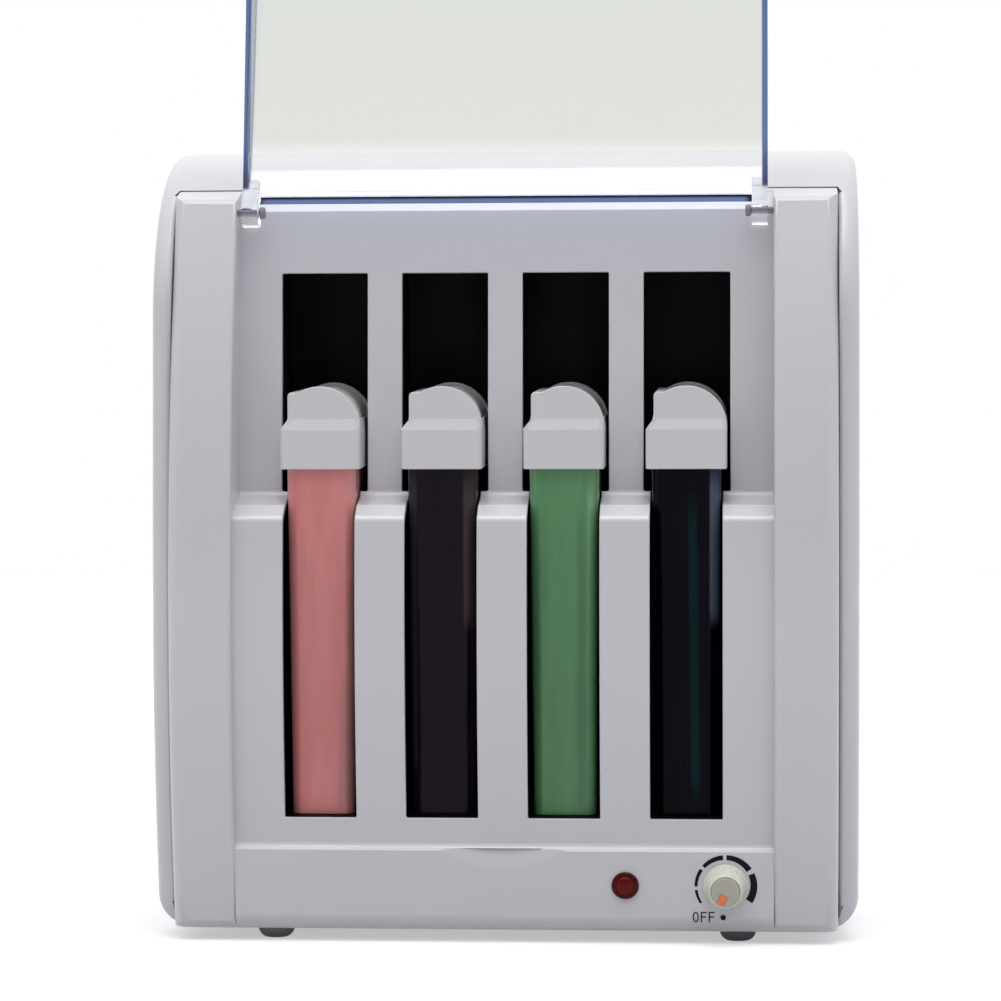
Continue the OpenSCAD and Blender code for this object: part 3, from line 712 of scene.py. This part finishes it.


# bands run up a bottle: across from the middle, height, lean, colour and strength; the lighter bands
# are painted highlights, the darker ones only darker streaks
bottleLooks = [
    {"name": "pink", "gloss": 0.25, "color": (221, 137, 136),
     "deep": (212, 127, 126), "sideSheen": (232, 168, 168),
     "bands": [
         {"across": (5.5, 11.5), "height": (46, 92), "lean": 0.02,
          "tone": (164, 124, 118), "much": 0.6},
         {"across": (9.2, 11.6), "height": (92, 124), "lean": 0.0,
          "tone": (168, 132, 126), "much": 0.5},
     ]},
    {"name": "aubergine", "gloss": 0.06, "color": (31, 21, 33),
     "deep": (26, 17, 27), "sideSheen": (58, 50, 55),
     "bands": [
         {"across": (7.5, 11.8), "height": (110, 162), "lean": 0.0,
          "tone": (84, 72, 70), "much": 0.6},
         {"across": (-11.8, -9.0), "height": (60, 162), "lean": 0.0,
          "tone": (66, 62, 70), "much": 0.5},
     ]},
    {"name": "green", "gloss": 0.25, "color": (86, 139, 92),
     "deep": (78, 129, 84), "sideSheen": (122, 162, 126),
     "bands": [
         {"across": (4.5, 7.2), "height": (44, 150), "lean": 0.0,
          "tone": (66, 108, 76), "much": 0.5},
         {"across": (8.2, 10.4), "height": (44, 158), "lean": 0.0,
          "tone": (126, 186, 132), "much": 0.6},
     ]},
    {"name": "navy", "gloss": 0.04, "color": (4, 4, 22),
     "deep": (2, 2, 15), "sideSheen": (24, 30, 40),
     "bands": [
         {"across": (1.6, 4.6), "height": (52, 152), "lean": -0.01,
          "tone": (0, 62, 66), "much": 0.35},
         {"across": (8.2, 11.6), "height": (112, 164), "lean": 0.0,
          "tone": (96, 108, 128), "much": 0.7},
     ]},
]
bottleSkin = {
    "coatRough": 0.06,
    "subsurface": 0.1,
    "subsurfaceScale": 0.004,
    "cloudSize": 160,
    "cloudStretch": (1, 1, 0.12),
    "cloudRange": (0.35, 0.7),
    # the sides of a bottle are painted paler, a painted highlight on its rounded edges
    "rimBand": (9.0, 11.8),
    "sideSheenMuch": 0.7,
    "bandSoft": 0.6,
    "bandFoot": (-3, 6),
    "bandTop": (8, -8),
    "grain": 1400,
    "rough": (0.2, 0.32),
    "bump": 0.1,
    "bumpDepth": 0.04,
}


def waxBottle(index, look):
    material, tree, shader = newMaterial(look["name"] + "Bottle", **{
        "Coat Weight": look["gloss"], "Coat Roughness": bottleSkin["coatRough"],
        "Specular IOR Level": look["gloss"], "Subsurface Weight": bottleSkin["subsurface"],
        "Subsurface Scale": bottleSkin["subsurfaceScale"]})
    where = addNode(tree, "ShaderNodeTexCoord").outputs["Object"]
    axes = addNode(tree, "ShaderNodeSeparateXYZ")
    tree.links.new(where, axes.inputs[0])
    across = calculate(tree, "SUBTRACT", axes.outputs["X"], bays[index] * mm)
    drawn = stretched(tree, where, bottleSkin["cloudStretch"])
    cloud = ramp(tree, noise(tree, drawn, bottleSkin["cloudSize"], 4, 0.3), *bottleSkin["cloudRange"])
    body = mixColor(tree, cloud, paint(*look["color"]), paint(*look["deep"]))
    # painted highlight: the bottle's sides take the paler side sheen colour
    rimFrom, rimTo = bottleSkin["rimBand"]
    rim = ramp(tree, calculate(tree, "ABSOLUTE", across), rimFrom * mm, rimTo * mm)
    rim = calculate(tree, "MULTIPLY", rim, bottleSkin["sideSheenMuch"])
    body = mixColor(tree, rim, body, paint(*look["sideSheen"]))
    soft = bottleSkin["bandSoft"] * mm
    footFrom, footTo = (c * mm for c in bottleSkin["bandFoot"])
    topFrom, topTo = (c * mm for c in bottleSkin["bandTop"])
    # the lighter bands are painted highlights, the darker ones darker streaks
    for band in look["bands"]:
        low, high = (c * mm for c in band["height"])
        lean = calculate(tree, "MULTIPLY_ADD", calculate(tree, "SUBTRACT", axes.outputs["Z"], low),
                         -band["lean"], across)
        first, last = (c * mm for c in band["across"])
        wide = calculate(tree, "MULTIPLY", ramp(tree, lean, first - soft, first + soft),
                         ramp(tree, lean, last + soft, last - soft))
        tall = calculate(tree, "MULTIPLY",
                         ramp(tree, axes.outputs["Z"], low + footFrom, low + footTo),
                         ramp(tree, axes.outputs["Z"], high + topFrom, high + topTo))
        both = calculate(tree, "MULTIPLY", wide, tall)
        much = calculate(tree, "MULTIPLY", both, band["much"])
        body = mixColor(tree, much, body, paint(*band["tone"]))
    skin = useGroup(tree, mouldedSkin, **{"Grain Size": bottleSkin["grain"]})
    tree.links.new(body, shader.inputs["Base Color"])
    rough = ramp(tree, skin.outputs["Wiped"], 0, 1, *bottleSkin["rough"])
    tree.links.new(rough, shader.inputs["Roughness"])
    addBump(tree, shader, skin.outputs["Height"], bottleSkin["bump"], bottleSkin["bumpDepth"])
    return material


headLook = {"edgeAngle": 35, "round": 0.35, "seam": 0.03}
cartridgeSeam = 0.02


def makeCartridge(index):
    number = index + 1
    body = "cartridge_%d" % number
    look = bottleLooks[index]
    bottle = waxBottle(index, look)
    parts = {kind: "cartridge_%s_%d" % (kind, number) for kind in ("bottle", "head", "roller", "wax")}
    addPiece(weldedCopy(parts["bottle"], cartridgeSeam), "waxBottle%d" % number, body,
             bottle, [parts["bottle"]])
    head = weldedCopy(parts["head"], headLook["seam"])
    roundEdges(head, lambda edge: sharpAt(edge, headLook["edgeAngle"]), headLook["round"])
    addPiece(head, "rollerHead%d" % number, body, finish["head"], [parts["head"]])
    addPiece(weldedCopy(parts["roller"], cartridgeSeam), "waxRoller%d" % number,
             "roller_%d" % number, finish["roller"], [parts["roller"]])
    wax = nodes[parts["wax"]].data.materials
    wax.clear()
    wax.append(bottle)


for index in range(4):
    makeCartridge(index)
print("cartridges are finished")


lampLook = {
    "across": 42.6,
    "color": (112, 5, 12),
    "rim": (66, 3, 8),
    "rimBand": (3.4, 4.0),
    "toneMuch": 0.3,
    "coat": 0.1,
    "coatRough": 0.04,
    "specular": 0.1,
    "subsurface": 0.2,
    "subsurfaceScale": 0.002,
    "grain": 2600,
    "rough": (0.12, 0.24),
    "bump": 0.06,
    "bumpDepth": 0.02,
    "profile": [(4.6, 0), (4.75, 0.1), (4.75, 0.75), (4.62, 0.98), (4.35, 1.16),
                (4.05, 1.26), (3.82, 1.22), (3.62, 1.06), (3.42, 0.98), (3.25, 1.02),
                (3.16, 1.12), (3.04, 1.3), (2.8, 1.5), (2.45, 1.68), (2.1, 1.78),
                (1.96, 1.76), (1.82, 1.79), (1.5, 1.92), (1.05, 2.0), (0.5, 2.04)],
}


# red lens, darker towards its ring
def lampPlastic():
    material, tree, shader = newMaterial("lampLens", **{
        "Coat Weight": lampLook["coat"], "Coat Roughness": lampLook["coatRough"],
        "Specular IOR Level": lampLook["specular"], "Subsurface Weight": lampLook["subsurface"],
        "Subsurface Scale": lampLook["subsurfaceScale"]})
    where = addNode(tree, "ShaderNodeTexCoord").outputs["Object"]
    fromCentre = addNode(tree, "ShaderNodeVectorMath", operation="DISTANCE")
    tree.links.new(where, fromCentre.inputs[0])
    fromCentre.inputs[1].default_value = onFace(lampLook["across"], case["stripHeight"])
    ringFrom, ringTo = lampLook["rimBand"]
    ring = ramp(tree, fromCentre.outputs["Value"], ringFrom * mm, ringTo * mm)
    body = mixColor(tree, ring, paint(*lampLook["color"]), paint(*lampLook["rim"]))
    skin = useGroup(tree, mouldedSkin, **{"Grain Size": lampLook["grain"]})
    tone = calculate(tree, "MULTIPLY", skin.outputs["Tone"], lampLook["toneMuch"])
    tree.links.new(mixColor(tree, tone, body, paint(*lampLook["rim"])), shader.inputs["Base Color"])
    rough = ramp(tree, skin.outputs["Wiped"], 0, 1, *lampLook["rough"])
    tree.links.new(rough, shader.inputs["Roughness"])
    addBump(tree, shader, skin.outputs["Height"], lampLook["bump"], lampLook["bumpDepth"])
    return material


knobLook = {
    "across": 77.5,
    "ribs": 44,
    "ribRows": (6, 9),      # rows of the profile that carry the ribs
    "ribHeight": 0.17,
    "stepsPerRib": 6,
    "capRound": 0.22,
    "pointerRound": 0.15,
    "seam": 0.01,
    "profile": [(7.4, 0.4), (7.8, 0.5), (7.9, 0.7), (7.9, 1.25), (7.75, 1.5), (7.4, 1.62),
                (7.22, 1.9), (6.7, 4.4), (6.25, 6.6), (5.98, 7.7), (5.82, 8.1), (5.55, 8.36),
                (5.25, 8.42), (5.05, 8.3), (4.98, 7.9), (4.98, 7.75)],
}
lensSides = 64
squareEdge = 60         # edges sharper than this are the rims of the cap and the pointer


def ribbed(row, angle):
    first, last = knobLook["ribRows"]
    if not first <= row <= last:
        return 0.0
    return knobLook["ribHeight"] * (abs(math.cos(knobLook["ribs"] * angle / 2)) * 2 - 1)


def makeControls():
    lens = bmesh.new()
    turned(lens, lampLook["profile"], lensSides, onStrip(lampLook["across"]))
    addPiece(lens, "pilotLens", "case", lampPlastic(), ["pilot_lamp_lens"])
    skirt = bmesh.new()
    turned(skirt, knobLook["profile"], knobLook["ribs"] * knobLook["stepsPerRib"],
           onStrip(knobLook["across"]), ribbed)
    addPiece(skirt, "knobSkirt", "dial", finish["knobSkirt"], ["knob_skirt"])
    cap = weldedCopy("knob_cap", knobLook["seam"])
    roundEdges(cap, lambda edge: sharpAt(edge, squareEdge), knobLook["capRound"])
    addPiece(cap, "knobCap", "dial", finish["knobCap"], ["knob_cap"])
    pointer = weldedCopy("knob_pointer", knobLook["seam"])
    roundEdges(pointer, lambda edge: sharpAt(edge, squareEdge), knobLook["pointerRound"])
    addPiece(pointer, "knobPointer", "dial", finish["pointer"],
             ["knob_pointer"])


makeControls()
print("lamp and knob are finished")


# scale and letters printed round the knob: centre, and arcs by their end angles
printLook = {
    "centre": (77.57, 20.7),
    "radius": 10.9,
    "arcs": [(215, 188), (181, 146), (139, 95.5), (89, 34.7), (25.7, -33.4)],
    "thin": 0.8,
    "thick": 2.65,
    "raised": 0.06,
    "sunk": -0.03,
    "stroke": 0.2,
    "letters": [(66.0, "O"), (68.85, "F"), (71.6, "F")],
    "letterFoot": 7.84,
    "letterSize": (2.1, 3.7),
    "letterSteps": 28,
    "dotSteps": 24,
    "arcStep": 4,           # degrees
    "barHeight": 0.52,      # of the middle bar, and its length, as parts of the letter's
    "barReach": 0.85,
    "barStart": 1.9,        # in strokes
    "dot": (76.6, 9.6, 0.94),
}


# adds a raised ribbon along points of (across, height, half its width)
def inked(work, path, closed=False):
    rings = []
    count = len(path)
    for k, (x, z, half) in enumerate(path):
        before = path[k - 1] if closed or k > 0 else path[k]
        after = path[(k + 1) % count] if closed or k < count - 1 else path[k]
        way = Vector((after[0] - before[0], after[1] - before[1])).normalized()
        ring = []
        for side, lift in ((-1, "sunk"), (1, "sunk"), (1, "raised"), (-1, "raised")):
            spot = onFace(x - way.y * half * side, z + way.x * half * side, printLook[lift])
            ring.append(work.verts.new(spot))
        rings.append(ring)
    for k in range(count if closed else count - 1):
        first, second = rings[k], rings[(k + 1) % count]
        for a in range(4):
            b = (a + 1) % 4
            work.faces.new((first[b], first[a], second[a], second[b]))
    if not closed:
        work.faces.new(rings[0])
        work.faces.new(rings[-1][::-1])


# points of a round ribbon, for a letter or a filled dot
def ringPath(x, z, radiusX, radiusZ, half, steps):
    turns = [2 * math.pi * k / steps for k in range(steps)]
    return [(x + radiusX * math.cos(a), z + radiusZ * math.sin(a), half) for a in turns]


def arcPath(first, last):
    centreX, centreZ = printLook["centre"]
    start, end = printLook["arcs"][0][0], printLook["arcs"][-1][1]
    steps = max(6, int(abs(first - last) / printLook["arcStep"]))
    path = []
    for k in range(steps + 1):
        angle = first + (last - first) * k / steps
        part = (start - angle) / (start - end)
        thick = printLook["thin"] + (printLook["thick"] - printLook["thin"]) * part
        r = printLook["radius"] - thick / 2
        path.append((centreX + r * math.cos(math.radians(angle)),
                     centreZ + r * math.sin(math.radians(angle)), thick / 2))
    return path


def inkLetter(work, left, letter):
    wide, tall = printLook["letterSize"]
    foot, stroke = printLook["letterFoot"], printLook["stroke"]
    if letter == "O":
        inked(work, ringPath(left + wide / 2, foot + tall / 2, wide / 2 - stroke, tall / 2 - stroke,
                             stroke, printLook["letterSteps"]), closed=True)
        return
    inked(work, [(left + stroke, foot + tall * k / 6, stroke) for k in range(7)])
    start = stroke * printLook["barStart"]
    for height, reach in ((tall - stroke, 1), (tall * printLook["barHeight"], printLook["barReach"])):
        inked(work, [(left + start + (wide * reach - start) * k / 3, foot + height, stroke)
                     for k in range(4)])


def makePrint():
    work = bmesh.new()
    for first, last in printLook["arcs"]:
        inked(work, arcPath(first, last))
    for left, letter in printLook["letters"]:
        inkLetter(work, left, letter)
    dotX, dotZ, dotR = printLook["dot"]
    inked(work, ringPath(dotX, dotZ, dotR / 2, dotR / 2, dotR / 2, printLook["dotSteps"]),
          closed=True)
    bmesh.ops.recalc_face_normals(work, faces=work.faces)
    addPiece(work, "dialPrint", "case", finish["print"])


makePrint()
print("dial print is finished")


carried = {
    "base_plate": "base", "rubber_feet": "rubber", "base_screws": "steel", "cord_gland": "gland",
    "heat_spreader": "aluminium", "heating_foil": "foil", "spreader_screws": "steel",
    "thermal_fuse": "ceramic", "terminal_block": "ceramic", "wiring": "lead",
    "pilot_lamp_body": "ceramic", "thermostat_body": "ceramic", "thermostat_nut": "brass",
    "thermostat_shaft": "steel",
}
for number in range(1, 5):
    carried["heater_well_%d" % number] = "well"
    carried["cartridge_axle_%d" % number] = "steel"
for node, kind in carried.items():
    mesh = nodes[node].data
    mesh.materials.clear()
    mesh.materials.append(finish[kind])
print("carried-over pieces have their materials")
